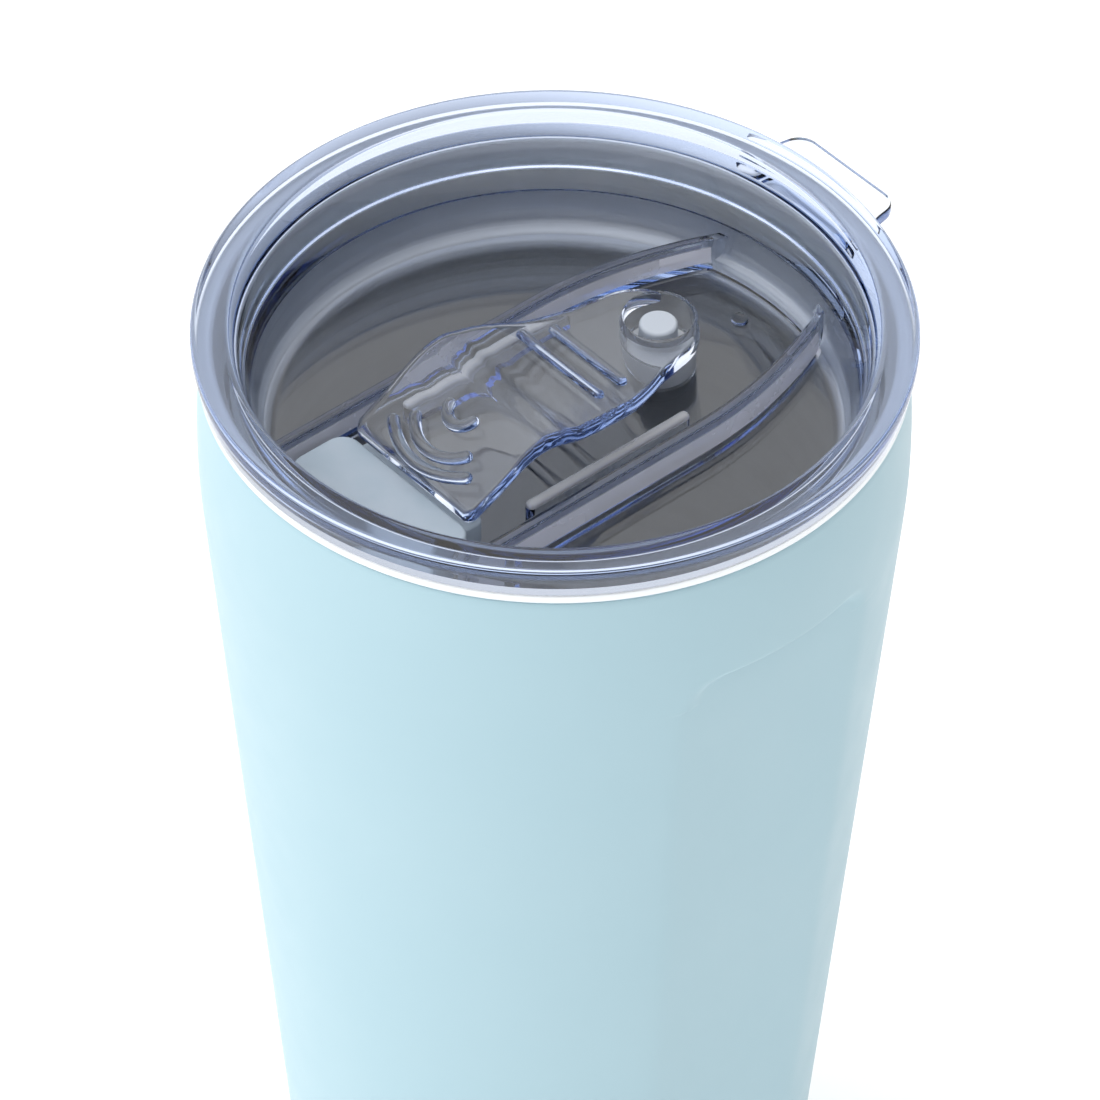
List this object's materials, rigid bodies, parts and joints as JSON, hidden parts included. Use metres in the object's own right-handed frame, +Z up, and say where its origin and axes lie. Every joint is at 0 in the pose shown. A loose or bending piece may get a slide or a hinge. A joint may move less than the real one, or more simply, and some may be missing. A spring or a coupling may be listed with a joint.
{
  "type": "insulated tumbler",
  "caption": "Tapered double-wall steel tumbler with flat grip panels, a clear press-in lid with a lifting tab, and a sliding sip gate.",
  "frame": {"origin": "centre of the base pad's flat underside, on the cup's axis", "axes": "+Z up along the cup's axis, the sip opening towards -Y, the lid's lifting tab towards +Y, the flat grip panels facing -X and +X"},
  "size_m": [0.088, 0.0924, 0.1699],
  "materials": {
    "paint": "satin pale aqua powder paint",
    "steel": "satin spun stainless steel",
    "solder_glass": "matt opaque grey",
    "getter_metal": "dark sintered",
    "pad_silicone": "matt",
    "clear_plastic": "clear polished copolyester with a faint blue tint",
    "clear_silicone": "translucent satin",
    "grey_silicone": "matt pale blue-grey",
    "white_silicone": "satin milky"
  },
  "bodies": {
    "cup": {"outer_shell": "paint", "inner_vessel": "steel", "bottom_plate": "steel", "port_seal": "solder_glass", "getter": "getter_metal", "base_pad": "pad_silicone"},
    "lid": {"lid_body": "clear_plastic", "lid_gasket": "clear_silicone"},
    "gate": {"sip_gate": "clear_plastic", "gate_seal": "grey_silicone", "vent_plug": "white_silicone"}
  },
  "joints": [
    {"name": "lid_lift", "type": "slide", "parent": "cup", "child": "lid", "axis": [0, 0, 1], "range_m": [0, 0.03]},
    {"name": "gate_slide", "type": "slide", "parent": "lid", "child": "gate", "axis": [0, 1, 0], "range_m": [0, 0.0075]}
  ]
}
